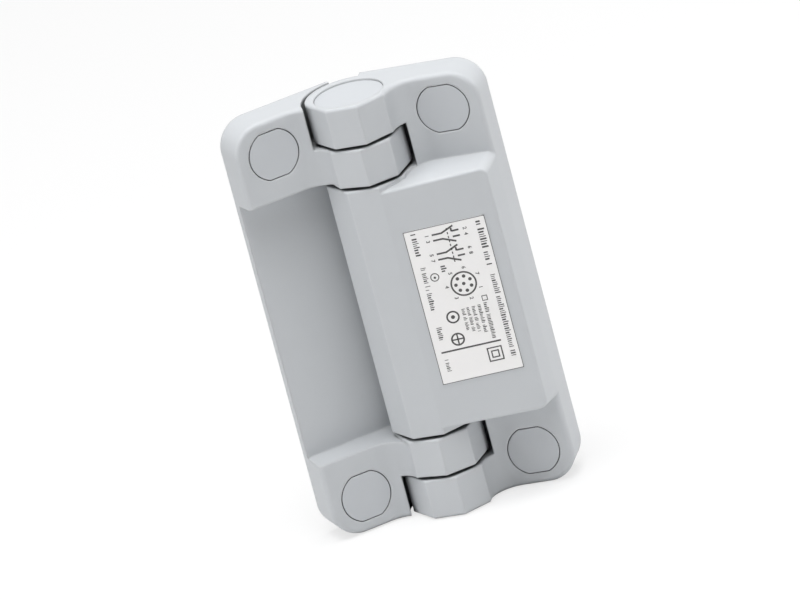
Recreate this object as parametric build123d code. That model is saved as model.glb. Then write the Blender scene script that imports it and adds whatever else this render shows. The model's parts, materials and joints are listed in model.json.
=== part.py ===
from build123d import *
import math
import os

# Safety hinge switch: a two-leaf moulded hinge whose fixed leaf holds a cam-driven contact block.
# Every piece is modelled round the pin axis (x = 0, y = 0, pin along Z, front towards -Y) with both
# leaves flat and the fixed leaf towards +X. The last step moves the pieces to the part's own frame:
# origin on the fixed leaf's mounting face, midway between its fixing holes, and the door leaf folded.

# Hinge: overall size, knuckles and the fold that the part is stored in
HINGE_LENGTH = 110.0
LEAF_REACH = 31.0
PIN_HEIGHT = 13.0
REST_FOLD = 34.4
EDGE_GAP = 0.6
END_KNUCKLE = 10.4
DOOR_KNUCKLE = 9.8
KNUCKLE_GAP = 0.8
KNUCKLE_R = 10.4
KNUCKLE_SIDES = 8
KNUCKLE_ROUND_EXTRA = 0.5
SEAT_CLEARANCE = 1.0
KNUCKLE_EDGE_R = 0.4
KNUCKLE_RIM_R = 0.8

# Leaves: flat blocks with a concave rise to the knuckles, and the door leaf's recess
BLOCK_THICKNESS = 10.0
FLANK_LIP = 0.14
LEAF_CORNER_R = 7.5
FRONT_EDGE_R = 1.2
DOOR_PLATE = 2.7
RECESS_DRAFT = 4.0

# Switch housing on the fixed leaf
HOUSING_SLOPE = 10.0
HOUSING_INSET = 1.0
HOUSING_END_DRAFT = 7.0
HOUSING_CORNER_R = 2.2
HOUSING_EDGE_R = 0.6
HOUSING_WALL = 2.4

# Fixing holes, one pair in each leaf, with a seat for the screw head and a flush cover
HOLE_OFFSET = -0.15
HOLE_END_INSET = 9.0
FIXING_HOLE_D = 6.5
HEAD_SEAT_D = 11.8
SCREW_FLOOR = 3.0
COVER_D = 13.2
COVER_FLAT_DEPTH = 0.5
COVER_THICKNESS = 2.0
COVER_SKIRT = 1.5
COVER_SKIRT_WALL = 0.7
COVER_CLEARANCE = 0.2

# Pin, bushes, seals and end caps
PIN_D = 8.0
PIN_END_GAP = 0.2
RUNNING_CLEARANCE = 0.03
SEATED_CLEARANCE = 0.02
BUSH_WALL = 1.6
BUSH_FLANGE_R = 7.0
BUSH_FLANGE = 0.5
SWITCH_BUSH_LENGTH = 4.4
SEAL_LENGTH = 2.4
SEAL_LIP = 0.7
SEAL_WEB = 1.2
WEB_CLEARANCE = 0.6
CAP_R = 8.6
CAP_RECESS = 0.4
CAP_THICKNESS = 1.8
CAP_SPIGOT = 1.0
CAP_SPIGOT_WALL = 0.9
CAP_CLEARANCE = 0.1

# Cam: two discs on one hub, their radius falling evenly round the hub, held by a cross pin
CAM_CHAMBER_R = 7.6
CAM_LOW_R = 5.2
CAM_RISE = 1.8
CAM_WIDTH = 5.0
CAM_HUB_R = 4.95
CAM_MARGIN = 12.0
CAM_STEPS = 16
CROSS_PIN_D = 2.0
FULL_FOLD = 180.0

# Rear opening of the housing, its cover, gasket and screws
OPENING_X0 = 4.8
OPENING_SIDE_WALL = 2.6
LEDGE = 2.2
REAR_RECESS = 2.6
REAR_COVER = 2.4
REAR_COVER_CLEARANCE = 0.1
REAR_COVER_CORNER_R = 1.5
GASKET_WIDTH = 1.0
GASKET_DEPTH = 0.8
GASKET_CLEARANCE = 0.02
BOSS_R = 2.4
BOSS_INSET = 2.2
COVER_SCREW_D = 2.5
COVER_SCREW_HEAD_D = 4.4
COVER_SCREW_HEAD = 1.2
COVER_SCREW_LENGTH = 8.0
SCREW_TIP_GAP = 1.0
SCREW_SOCKET_D = 1.8
SCREW_SOCKET = 0.7

# Contact block: carrier, plungers, bridges, springs, fixed contacts and board
CARRIER_X0 = 11.0
CARRIER_CLEARANCE = 0.1
CARRIER_BACK = 4.6
CARRIER_WALL = 2.4
CHANNEL_HALF = 5.0
CHANNEL_FRONT = 2.8
CARRIER_END_WALL = 1.0
PLUNGER_PITCH = 13.0
PLUNGER_R = 1.5
PLUNGER_CLEARANCE = 0.05
CAM_GAP = 0.1
COLLAR_X = 14.5
COLLAR = 1.0
COLLAR_R = 1.8
TAIL_R = 0.9
TAIL_GAP = 1.5
BRIDGE_THICKNESS = 0.6
BRIDGE_HALF = 4.6
BRIDGE_HALF_HEIGHT = 1.2
SPRING_WIRE_R = 0.25
SPRING_WIRE_SIDES = 8
SPRING_R = 1.45
SPRING_TURNS = 5
SPRING_END_GAP = 0.1
CONTACT_STRIP = 0.6
CONTACT_WIDTH = 1.8
CONTACT_REACH = 1.4
CONTACT_OPEN_GAP = 0.2
BOARD = 1.6
BOARD_INSET = 1.0
POST_R = 1.2
POST_INSET = 2.5

# Connector at the back: round shell, nut, insert, eight pins and an O-ring
CONNECTOR_INSET = 9.5
THREAD_D = 12.0
THREAD_LENGTH = 9.0
FLANGE_D = 17.0
FLANGE_FLATS = 15.0
FLANGE = 2.4
SHELL_BORE_D = 9.0
SHELL_SPIGOT_D = 11.0
SHELL_HOLE_CLEARANCE = 0.05
SHELL_NUT_WALL = 1.0
SHELL_NUT = 1.8
SPIGOT_BEYOND_NUT = 0.3
INSERT_INSET = 0.5
INSERT_RECESS = 8.0
INSERT_CLEARANCE = 0.03
KEY_R = 0.7
KEY_SHORT = 2.0
CONTACT_PIN_D = 0.8
CONTACT_PIN_CIRCLE_D = 5.5
RING_PINS = 7
PIN_TIP_RECESS = 1.2
PIN_HOLE_CLEARANCE = 0.01
O_RING_R = 0.6
O_RING_CIRCLE_R = 7.0
O_RING_CLEARANCE = 0.1

# Label on the housing face
LABEL_WIDTH = 20.3
LABEL_LENGTH = 40.8
LABEL_THICKNESS = 0.15
LABEL_INSET = 3.0
LABEL_CORNER_R = 0.6

# Places worked out from the sizes above
ENDS = (1, -1)
HEX_SIDES = 6
NEAR = 0.01
BACK = PIN_HEIGHT
FACE = BACK - BLOCK_THICKNESS
EDGE = EDGE_GAP / 2
HALF = HINGE_LENGTH / 2
END_KNUCKLE_IN = HALF - END_KNUCKLE
DOOR_KNUCKLE_OUT = END_KNUCKLE_IN - KNUCKLE_GAP
DOOR_KNUCKLE_IN = DOOR_KNUCKLE_OUT - DOOR_KNUCKLE
SWITCH_HALF = DOOR_KNUCKLE_IN - KNUCKLE_GAP
ROUND_R = KNUCKLE_R + KNUCKLE_ROUND_EXTRA
SEAT_R = ROUND_R + SEAT_CLEARANCE
HOLE_FROM_PIN = (SEAT_R + LEAF_REACH) / 2 + HOLE_OFFSET
HOUSING_REACH = LEAF_REACH - HOUSING_INSET
FACET_ANGLE = math.radians(180 / KNUCKLE_SIDES)
FACET_DISTANCE = KNUCKLE_R * math.cos(FACET_ANGLE)
FACET_HALF = KNUCKLE_R * math.sin(FACET_ANGLE)
FLANK_R = FACE + FACET_HALF - FLANK_LIP
HOLE_Z = HALF - HOLE_END_INSET
COVER_R = COVER_D / 2
COVER_FLAT = COVER_R - COVER_FLAT_DEPTH
PLATE_FRONT = BACK - DOOR_PLATE
PIN_R = PIN_D / 2
BUSH_IN_R = PIN_R + RUNNING_CLEARANCE
BUSH_OUT_R = BUSH_IN_R + BUSH_WALL
CAP_OUT = HALF - CAP_RECESS
CAP_IN = CAP_OUT - CAP_THICKNESS
BUSH_TOP = CAP_IN - CAP_SPIGOT
PIN_HALF = BUSH_TOP - PIN_END_GAP
SEAL_TOP = SWITCH_HALF - SWITCH_BUSH_LENGTH
SEAL_BOTTOM = SEAL_TOP - SEAL_LENGTH
CHAMBER_HALF = SEAL_BOTTOM - SEAL_WEB
REAR_SEAT = BACK - REAR_RECESS
COVER_BACK = REAR_SEAT + REAR_COVER
SCREW_HOLE_END = COVER_BACK - COVER_SCREW_LENGTH - SCREW_TIP_GAP
OPENING_X1 = HOUSING_REACH - OPENING_SIDE_WALL
OPENING_HALF = SEAL_BOTTOM
OPENING_MID_X = (OPENING_X0 + OPENING_X1) / 2
OPENING_WIDTH = OPENING_X1 - OPENING_X0
BOSS_XS = (OPENING_X0 + BOSS_INSET, OPENING_X1 - BOSS_INSET)
BOSS_Z = OPENING_HALF - BOSS_INSET
CARRIER_X1 = OPENING_X1 - CARRIER_CLEARANCE
BOARD_BACK = CARRIER_BACK + BOARD
BOARD_X1 = CARRIER_X1 - CARRIER_CLEARANCE
PLUNGER_Z = PLUNGER_PITCH / 2
CARRIER_HALF = PLUNGER_Z + CHANNEL_HALF + CARRIER_END_WALL
BOARD_HALF = CARRIER_HALF - BOARD_INSET
PLUNGER_OUT = CAM_RISE * REST_FOLD / FULL_FOLD
CAM_AT_REST = CAM_LOW_R + PLUNGER_OUT
PLUNGER_IN = CAM_RISE - PLUNGER_OUT
BRIDGE_X = COLLAR_X + COLLAR
SPRING_X0 = BRIDGE_X + BRIDGE_THICKNESS
SPRING_X1 = CARRIER_X1 - CARRIER_WALL
TAIL_END = SPRING_X1 - PLUNGER_IN - TAIL_GAP
FLANGE_BACK = COVER_BACK + FLANGE
SHELL_END = FLANGE_BACK + THREAD_LENGTH
SHELL_START = REAR_SEAT - SHELL_NUT - SPIGOT_BEYOND_NUT
SHELL_NUT_FLATS = SHELL_SPIGOT_D + 2 * SHELL_NUT_WALL
INSERT_FACE = SHELL_END - INSERT_RECESS
SHELL_BORE_R = SHELL_BORE_D / 2
CONNECTOR_X = OPENING_X1 - CONNECTOR_INSET
LABEL_CENTRE_X = HOUSING_REACH - LABEL_INSET - LABEL_WIDTH / 2


def housing_front(x):
    """Depth of the housing's sloping front face at a distance from the pin axis."""
    return -FACET_DISTANCE + (x - FACET_HALF) * math.tan(math.radians(HOUSING_SLOPE))


def housing_floor(x):
    """Depth of the cavity's front floor, one wall behind the front face."""
    return housing_front(x) + HOUSING_WALL


def prism(points, z0, z1):
    """A closed outline in x and y, drawn up from z0 to z1."""
    face = make_face(Polyline(*points, close=True))
    return Pos(0, 0, z0) * extrude(face, z1 - z0)


def span(x0, x1, y0, y1, z0, z1):
    """A box between two corners."""
    centre = Pos((x0 + x1) / 2, (y0 + y1) / 2, (z0 + z1) / 2)
    return centre * Box(x1 - x0, y1 - y0, z1 - z0)


def rod(radius, z0, z1):
    """A cylinder on the pin axis."""
    return Pos(0, 0, (z0 + z1) / 2) * Cylinder(radius, z1 - z0)


def tube(outer, inner, z0, z1):
    """A ring on the pin axis."""
    return rod(outer, z0, z1) - rod(inner, z0, z1)


def through(radius, x, z, y0, y1):
    """A cylinder across the leaf, from depth y0 back to depth y1."""
    return Pos(x, (y0 + y1) / 2, z) * Rot(90, 0, 0) * Cylinder(radius, y1 - y0)


def along_x(radius, x0, x1, z):
    """A cylinder at the pin's depth that runs away from the pin axis."""
    return Pos((x0 + x1) / 2, 0, z) * Rot(0, 90, 0) * Cylinder(radius, x1 - x0)


def rounded_plate(width, length, corner, x, y0, y1):
    """A plate across the leaf with rounded corners, between two depths."""
    outline = Plane.XZ * RectangleRounded(width, length, corner)
    return Pos(x, y1, 0) * extrude(outline, y1 - y0)


def upper_and_lower(z0, z1):
    """The same stretch of the pin axis at both ends of the hinge, lowest value first."""
    return ((z0, z1), (-z1, -z0))


def knuckle_rims(body):
    """The straight edges round a knuckle's two end faces."""
    return body.faces().filter_by(Axis.Z).edges().filter_by(GeomType.LINE)


def knuckle(z0, z1):
    """A knuckle: three front facets, round on its free side, with softer rims at the hinge's ends."""
    far = -FACET_HALF - ROUND_R
    facets = [
        (far, ROUND_R),
        (far, ROUND_R - FACET_DISTANCE),
        (-FACET_HALF, -FACET_DISTANCE),
        (FACET_HALF, -FACET_DISTANCE),
        (FACET_DISTANCE, -FACET_HALF),
        (FACET_DISTANCE, ROUND_R),
    ]
    body = prism(facets, z0, z1) & rod(ROUND_R, z0, z1)
    inner_rims = knuckle_rims(body).filter_by(lambda e: abs(e.center().Z) < HALF - NEAR)
    body = fillet(inner_rims, KNUCKLE_EDGE_R)
    outer_rims = knuckle_rims(body).filter_by(lambda e: abs(e.center().Z) > HALF - NEAR)
    return fillet(outer_rims, KNUCKLE_RIM_R) if outer_rims else body


def leaf_blank():
    """What both leaves start from: a flat block with a concave rise up to the knuckles."""
    outline = Polyline(
        (EDGE, BACK),
        (LEAF_REACH, BACK),
        (LEAF_REACH, FACE),
        (FACET_DISTANCE, FACE),
        (FACET_DISTANCE, -FACET_HALF),
        (EDGE, -FACET_HALF),
        close=True,
    )
    section = make_face(outline)
    foot = section.vertices().sort_by_distance((FACET_DISTANCE, FACE, 0))[0]
    section = fillet(foot, FLANK_R)
    blank = Pos(0, 0, -HALF) * extrude(section, HINGE_LENGTH)
    corners = blank.edges().filter_by(Axis.Y).group_by(Axis.X)[-1]
    return fillet(corners, LEAF_CORNER_R)


def soft_front(leaf):
    """Round the outline of the front: the block's rim and the ends of its concave rise."""
    rim = leaf.edges().filter_by(lambda e: e.center().Y < FACE + NEAR and e.center().X > EDGE + NEAR)
    ends = rim.filter_by(lambda e: abs(e.center().Z) > HALF - LEAF_CORNER_R)
    ends = ends.filter_by(lambda e: e.center().Y > -FACET_HALF + NEAR)
    side = rim.filter_by(lambda e: e.center().X > LEAF_REACH - NEAR)
    return fillet(ends + side, FRONT_EDGE_R)


def cover_disc(z, radius, flat, y0, y1):
    """A round disc with two flats across the pin direction."""
    disc = through(radius, HOLE_FROM_PIN, z, y0, y1)
    return disc & span(HOLE_FROM_PIN - COVER_D, HOLE_FROM_PIN + COVER_D, y0, y1, z - flat, z + flat)


def screw_seats():
    """What the two fixing holes of a leaf take away: hole, head seat and cover pocket."""
    seats = []
    for end in ENDS:
        z = end * HOLE_Z
        seats.append(through(FIXING_HOLE_D / 2, HOLE_FROM_PIN, z, FACE, BACK))
        seats.append(through(HEAD_SEAT_D / 2, HOLE_FROM_PIN, z, FACE, BACK - SCREW_FLOOR))
        seats.append(cover_disc(z, COVER_R, COVER_FLAT, -KNUCKLE_R, FACE + COVER_THICKNESS))
    return seats


def build_screw_cover(end):
    """A flush cover over a fixing screw: flatted disc with a skirt that grips the head seat."""
    z = end * HOLE_Z
    under = FACE + COVER_THICKNESS
    skirt_r = HEAD_SEAT_D / 2 - COVER_CLEARANCE
    cover = cover_disc(z, COVER_R - COVER_CLEARANCE, COVER_FLAT - COVER_CLEARANCE, FACE, under)
    cover += through(skirt_r, HOLE_FROM_PIN, z, under, under + COVER_SKIRT)
    cover -= through(skirt_r - COVER_SKIRT_WALL, HOLE_FROM_PIN, z, under, under + COVER_SKIRT)
    return cover


def build_housing():
    """The raised housing beside the middle knuckle, with drafted ends and soft outer corners."""
    housing = prism(
        [
            (EDGE, BACK),
            (LEAF_REACH, BACK),
            (LEAF_REACH, FACE),
            (HOUSING_REACH, housing_front(HOUSING_REACH)),
            (FACET_HALF, -FACET_DISTANCE),
            (EDGE, -FACET_DISTANCE),
        ],
        -SWITCH_HALF,
        SWITCH_HALF,
    )
    set_in = (FACE + KNUCKLE_R) * math.tan(math.radians(HOUSING_END_DRAFT))
    for end in ENDS:
        wedge = Polyline(
            (FACE, end * SWITCH_HALF),
            (-KNUCKLE_R, end * SWITCH_HALF),
            (-KNUCKLE_R, end * (SWITCH_HALF - set_in)),
            close=True,
        )
        housing -= extrude(Plane.YZ * make_face(wedge), 2 * LEAF_REACH, both=True)
    outer = housing.edges().filter_by(lambda e: e.center().X > HOUSING_REACH and e.center().Y < FACE)
    corners = outer.filter_by(lambda e: abs(e.center().Z) > SWITCH_HALF - set_in)
    housing = fillet(corners, HOUSING_CORNER_R)
    rim = housing.edges().filter_by(lambda e: e.center().Y < housing_front(HOUSING_REACH) + NEAR)
    rim = rim.filter_by(lambda e: e.center().X > FACET_HALF + NEAR)
    return fillet(rim, HOUSING_EDGE_R)


def cavity_section(x0, x1, gap, back):
    """An outline between two distances from the pin that follows the cavity's sloping floor."""
    return [(x0, housing_floor(x0) + gap), (x1, housing_floor(x1) + gap), (x1, back), (x0, back)]


def gasket_ring(clearance, y0, y1):
    """The ring in the middle of the rear ledge: a groove, or the gasket that lies in it."""
    width = OPENING_WIDTH + LEDGE
    length = 2 * OPENING_HALF + LEDGE
    half = GASKET_WIDTH / 2 - clearance
    outer = rounded_plate(width + 2 * half, length + 2 * half, REAR_COVER_CORNER_R, OPENING_MID_X, y0, y1)
    inner = rounded_plate(width - 2 * half, length - 2 * half, half, OPENING_MID_X, y0, y1)
    return outer - inner


def build_switch_leaf():
    leaf = soft_front(leaf_blank())
    leaf += build_housing()
    leaf += knuckle(-SWITCH_HALF, SWITCH_HALF)
    for z0, z1 in upper_and_lower(END_KNUCKLE_IN, HALF):
        leaf += knuckle(z0, z1)
    for z0, z1 in upper_and_lower(SWITCH_HALF, END_KNUCKLE_IN):
        leaf -= rod(SEAT_R, z0, z1)
    leaf -= screw_seats()
    bush_r = BUSH_OUT_R + SEATED_CLEARANCE
    for z0, z1 in upper_and_lower(END_KNUCKLE_IN, HALF):
        leaf -= rod(bush_r, z0, z1)
    for z0, z1 in upper_and_lower(CAP_IN, HALF):
        leaf -= rod(CAP_R + CAP_CLEARANCE, z0, z1)
    for z0, z1 in upper_and_lower(SEAL_BOTTOM, SWITCH_HALF):
        leaf -= rod(bush_r, z0, z1)
    leaf -= rod(PIN_R + WEB_CLEARANCE, -SEAL_BOTTOM, SEAL_BOTTOM)
    floor = cavity_section(OPENING_X0, OPENING_X1, 0, BACK)
    cavity = prism(floor, -OPENING_HALF, OPENING_HALF)
    bosses = []
    hole_r = COVER_SCREW_D / 2 + SEATED_CLEARANCE
    for x in BOSS_XS:
        for end in ENDS:
            boss = through(BOSS_R, x, end * BOSS_Z, -KNUCKLE_R, REAR_SEAT)
            bosses.append(boss - through(hole_r, x, end * BOSS_Z, SCREW_HOLE_END, REAR_SEAT))
    cavity -= bosses
    leaf -= cavity
    chamber_side = span(-HALF, OPENING_X0, -HALF, HALF, -HALF, HALF)
    leaf -= rod(CAM_CHAMBER_R, -CHAMBER_HALF, CHAMBER_HALF) & chamber_side
    width = OPENING_WIDTH + 2 * LEDGE
    length = 2 * (OPENING_HALF + LEDGE)
    leaf -= rounded_plate(width, length, REAR_COVER_CORNER_R, OPENING_MID_X, REAR_SEAT, BACK)
    leaf -= gasket_ring(0, REAR_SEAT - GASKET_DEPTH, REAR_SEAT)
    return leaf


def build_door_leaf():
    leaf = soft_front(leaf_blank())
    slope = math.tan(math.radians(RECESS_DRAFT))
    foot = DOOR_KNUCKLE_IN
    mouth = foot + (PLATE_FRONT + KNUCKLE_R) * slope
    recess = Polyline(
        (PLATE_FRONT, foot),
        (-KNUCKLE_R, mouth),
        (-KNUCKLE_R, -mouth),
        (PLATE_FRONT, -foot),
        close=True,
    )
    leaf -= extrude(Plane.YZ * make_face(recess), 2 * LEAF_REACH)
    for z0, z1 in upper_and_lower(DOOR_KNUCKLE_IN, DOOR_KNUCKLE_OUT):
        leaf += knuckle(z0, z1)
        leaf -= rod(PIN_R + SEATED_CLEARANCE, z0, z1)
    for z0, z1 in upper_and_lower(DOOR_KNUCKLE_OUT, HALF):
        leaf -= rod(SEAT_R, z0, z1)
    leaf -= rod(SEAT_R, -DOOR_KNUCKLE_IN, DOOR_KNUCKLE_IN)
    leaf -= screw_seats()
    return leaf


def build_end_cap(z0, z1):
    """A disc that closes an end knuckle, with a short ring that holds the bush in."""
    inner, outer = (z0, z1) if z0 > 0 else (z1, z0)
    step = inner + math.copysign(CAP_SPIGOT, inner)
    cap = rod(CAP_R, *sorted((step, outer)))
    return cap + tube(BUSH_OUT_R, BUSH_OUT_R - CAP_SPIGOT_WALL, *sorted((inner, step)))


def build_bush(body, flange):
    """A plain bush with a thin flange that keeps two knuckles apart."""
    return tube(BUSH_OUT_R, BUSH_IN_R, *body) + tube(BUSH_FLANGE_R, BUSH_IN_R, *flange)


def build_shaft_seal(z0, z1):
    """A seal ring with one lip that runs on the pin."""
    middle = (z0 + z1) / 2
    section = Polyline(
        (BUSH_OUT_R, z0),
        (BUSH_OUT_R, z1),
        (BUSH_IN_R + SEAL_LIP, z1),
        (BUSH_IN_R, middle),
        (BUSH_IN_R + SEAL_LIP, z0),
        close=True,
    )
    return revolve(Plane.XZ * make_face(section), Axis.Z)


def build_hinge_pin():
    return rod(PIN_R, -PIN_HALF, PIN_HALF) - through(CROSS_PIN_D / 2, 0, 0, -PIN_D, PIN_D)


def build_cam():
    """Two cam discs on a hub: the side that the plungers touch rises evenly as the door opens."""
    first, last = math.radians(CAM_MARGIN), -math.radians(FULL_FOLD + CAM_MARGIN)
    points = []
    for step in range(CAM_STEPS + 1):
        angle = first + (last - first) * step / CAM_STEPS
        radius = CAM_LOW_R - CAM_RISE * math.degrees(angle) / FULL_FOLD
        points.append((radius * math.cos(angle), radius * math.sin(angle)))
    rise = Spline(*points)
    heel = ThreePointArc(rise @ 1, (0, CAM_LOW_R + CAM_RISE / 2), rise @ 0)
    disc = extrude(make_face([rise, heel]), CAM_WIDTH)
    cam = rod(CAM_HUB_R, -PLUNGER_Z, PLUNGER_Z)
    for end in ENDS:
        cam += Pos(0, 0, end * PLUNGER_Z - CAM_WIDTH / 2) * disc
    cam -= rod(PIN_R + SEATED_CLEARANCE, -HALF, HALF)
    return cam - through(CROSS_PIN_D / 2, 0, 0, -PIN_D, PIN_D)


def build_cross_pin():
    radius = CROSS_PIN_D / 2 - SEATED_CLEARANCE / 2
    return through(radius, 0, 0, -CAM_HUB_R, CAM_HUB_R) & rod(CAM_HUB_R, -CAM_HUB_R, CAM_HUB_R)


def build_rear_cover():
    """The plate that closes the housing from behind, with posts that hold the board down."""
    width = OPENING_WIDTH + 2 * LEDGE - 2 * REAR_COVER_CLEARANCE
    length = 2 * (OPENING_HALF + LEDGE - REAR_COVER_CLEARANCE)
    cover = rounded_plate(width, length, REAR_COVER_CORNER_R, OPENING_MID_X, REAR_SEAT, COVER_BACK)
    for x in (CARRIER_X0 + POST_INSET, BOARD_X1 - POST_INSET):
        for end in ENDS:
            cover += through(POST_R, x, end * (BOARD_HALF - POST_INSET), BOARD_BACK, REAR_SEAT)
    cover -= through(SHELL_SPIGOT_D / 2 + SHELL_HOLE_CLEARANCE, CONNECTOR_X, 0, REAR_SEAT, COVER_BACK)
    for x in BOSS_XS:
        for end in ENDS:
            cover -= Pos(x, 0, end * BOSS_Z) * screw_solid(SEATED_CLEARANCE, REAR_SEAT)
    return cover


def screw_solid(clearance, tip):
    """A countersunk screw along the leaf's depth, or the hole that it needs."""
    shank = COVER_SCREW_D / 2 + clearance
    head = COVER_SCREW_HEAD_D / 2 + clearance
    section = Polyline(
        (0, tip),
        (shank, tip),
        (shank, COVER_BACK - COVER_SCREW_HEAD),
        (head, COVER_BACK),
        (0, COVER_BACK),
        close=True,
    )
    return revolve(make_face(section), Axis.Y)


def build_cover_screws():
    socket = extrude(RegularPolygon(SCREW_SOCKET_D / 2, HEX_SIDES), SCREW_SOCKET)
    screw = screw_solid(0, COVER_BACK - COVER_SCREW_LENGTH)
    screw -= Pos(0, COVER_BACK, 0) * Rot(90, 0, 0) * socket
    return [Pos(x, 0, end * BOSS_Z) * screw for x in BOSS_XS for end in ENDS]


def build_carrier():
    """The block that guides the plungers, with one open channel for each contact set."""
    section = cavity_section(CARRIER_X0, CARRIER_X1, CARRIER_CLEARANCE, CARRIER_BACK)
    carrier = prism(section, -CARRIER_HALF, CARRIER_HALF)
    for end in ENDS:
        z = end * PLUNGER_Z
        x0, x1 = CARRIER_X0 + CARRIER_WALL, SPRING_X1
        carrier -= span(x0, x1, -CHANNEL_FRONT, CARRIER_BACK, z - CHANNEL_HALF, z + CHANNEL_HALF)
        carrier -= along_x(PLUNGER_R + PLUNGER_CLEARANCE, CARRIER_X0, x0, z)
    return carrier


def build_board():
    board = span(CARRIER_X0, BOARD_X1, CARRIER_BACK, BOARD_BACK, -BOARD_HALF, BOARD_HALF)
    holes = []
    for x, z in contact_pin_places():
        holes.append(through(CONTACT_PIN_D / 2 + PIN_HOLE_CLEARANCE, x, z, CARRIER_BACK, BOARD_BACK))
    return board - holes


def build_plunger(end):
    """A round-nosed plunger with a collar for the contact bridge and a tail inside the spring."""
    z = end * PLUNGER_Z
    nose = CAM_AT_REST + CAM_GAP + PLUNGER_R
    plunger = Pos(nose, 0, z) * Sphere(PLUNGER_R)
    plunger += along_x(PLUNGER_R, nose, COLLAR_X, z)
    plunger += along_x(COLLAR_R, COLLAR_X, BRIDGE_X, z)
    return plunger + along_x(TAIL_R, BRIDGE_X, TAIL_END, z)


def build_contact_bridge(end):
    z = end * PLUNGER_Z
    half, high = BRIDGE_HALF, BRIDGE_HALF_HEIGHT
    bridge = span(BRIDGE_X, SPRING_X0, -high, high, z - half, z + half)
    return bridge - along_x(TAIL_R + SEATED_CLEARANCE, BRIDGE_X, SPRING_X0, z)


def build_spring(end):
    """A compression spring between the bridge and the carrier's outer wall."""
    inset = SPRING_WIRE_R + SPRING_END_GAP
    length = SPRING_X1 - SPRING_X0 - 2 * inset
    path = Helix(length / SPRING_TURNS, length, SPRING_R)
    section = Plane(path @ 0, z_dir=path % 0) * RegularPolygon(SPRING_WIRE_R, SPRING_WIRE_SIDES)
    wire = sweep(section, path, is_frenet=True)
    return Pos(SPRING_X0 + inset, 0, end * PLUNGER_Z) * Rot(0, 90, 0) * wire


def build_fixed_contacts():
    """Eight upright strips: each bridge meets two when closed and two when opened."""
    closed = BRIDGE_X - PLUNGER_OUT - CONTACT_OPEN_GAP - CONTACT_STRIP
    opened = SPRING_X0 + PLUNGER_IN + CONTACT_OPEN_GAP
    strips = []
    for end in ENDS:
        for side in ENDS:
            z = end * PLUNGER_Z + side * (BRIDGE_HALF - CONTACT_WIDTH / 2)
            for x in (closed, opened):
                z0, z1 = z - CONTACT_WIDTH / 2, z + CONTACT_WIDTH / 2
                strips.append(span(x, x + CONTACT_STRIP, -CONTACT_REACH, CARRIER_BACK, z0, z1))
    return strips


def contact_pin_places():
    """Seven pins in a ring and one in the middle."""
    places = [(CONNECTOR_X, 0)]
    for number in range(RING_PINS):
        angle = 2 * math.pi * (number + 0.5) / RING_PINS
        radius = CONTACT_PIN_CIRCLE_D / 2
        places.append((CONNECTOR_X + radius * math.cos(angle), radius * math.sin(angle)))
    return places


def build_connector_shell():
    """The threaded round shell: its spigot passes the rear cover and its flange seals on it."""
    shell = through(SHELL_SPIGOT_D / 2, CONNECTOR_X, 0, SHELL_START, COVER_BACK)
    flange = through(FLANGE_D / 2, CONNECTOR_X, 0, COVER_BACK, FLANGE_BACK)
    flange &= span(-HALF, HALF, COVER_BACK, FLANGE_BACK, -FLANGE_FLATS / 2, FLANGE_FLATS / 2)
    shell += flange
    shell += through(THREAD_D / 2, CONNECTOR_X, 0, FLANGE_BACK, SHELL_END)
    shell -= through(SHELL_BORE_R, CONNECTOR_X, 0, SHELL_START, SHELL_END)
    seat = 2 * O_RING_R + O_RING_CLEARANCE
    groove = through(O_RING_CIRCLE_R + O_RING_R, CONNECTOR_X, 0, COVER_BACK, COVER_BACK + seat)
    groove -= through(O_RING_CIRCLE_R - O_RING_R, CONNECTOR_X, 0, COVER_BACK, COVER_BACK + seat)
    return shell - groove


def build_connector_nut():
    nut = extrude(RegularPolygon(SHELL_NUT_FLATS / 2, HEX_SIDES, major_radius=False), SHELL_NUT)
    nut = Pos(CONNECTOR_X, REAR_SEAT, 0) * Rot(90, 0, 0) * nut
    return nut - through(SHELL_SPIGOT_D / 2 + SEATED_CLEARANCE, CONNECTOR_X, 0, SHELL_START, REAR_SEAT)


def build_connector_insert():
    """The moulded insert that holds the pins, with the key that lines up the plug."""
    radius = SHELL_BORE_R - INSERT_CLEARANCE
    insert = through(radius, CONNECTOR_X, 0, SHELL_START + INSERT_INSET, INSERT_FACE)
    key = through(KEY_R, CONNECTOR_X, SHELL_BORE_R, INSERT_FACE, SHELL_END - KEY_SHORT)
    insert += key & through(radius, CONNECTOR_X, 0, INSERT_FACE, SHELL_END)
    holes = []
    for x, z in contact_pin_places():
        holes.append(through(CONTACT_PIN_D / 2 + PIN_HOLE_CLEARANCE, x, z, SHELL_START, INSERT_FACE))
    return insert - holes


def build_connector_pins():
    pins = []
    for x, z in contact_pin_places():
        pins.append(through(CONTACT_PIN_D / 2, x, z, CARRIER_BACK, SHELL_END - PIN_TIP_RECESS))
    return pins


def build_o_ring():
    centre = Pos(CONNECTOR_X, COVER_BACK + O_RING_R + O_RING_CLEARANCE / 2, 0) * Rot(90, 0, 0)
    return centre * Torus(O_RING_CIRCLE_R, O_RING_R - O_RING_CLEARANCE / 2)


def build_label():
    plate = RectangleRounded(LABEL_WIDTH, LABEL_LENGTH, LABEL_CORNER_R)
    label = extrude(Plane.XZ * plate, LABEL_THICKNESS)
    return Pos(LABEL_CENTRE_X, housing_front(LABEL_CENTRE_X), 0) * Rot(0, 0, HOUSING_SLOPE) * label


def other_leaf(piece):
    """The same piece on the door leaf's side of the pin."""
    return mirror(piece, Plane.YZ)


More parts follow.
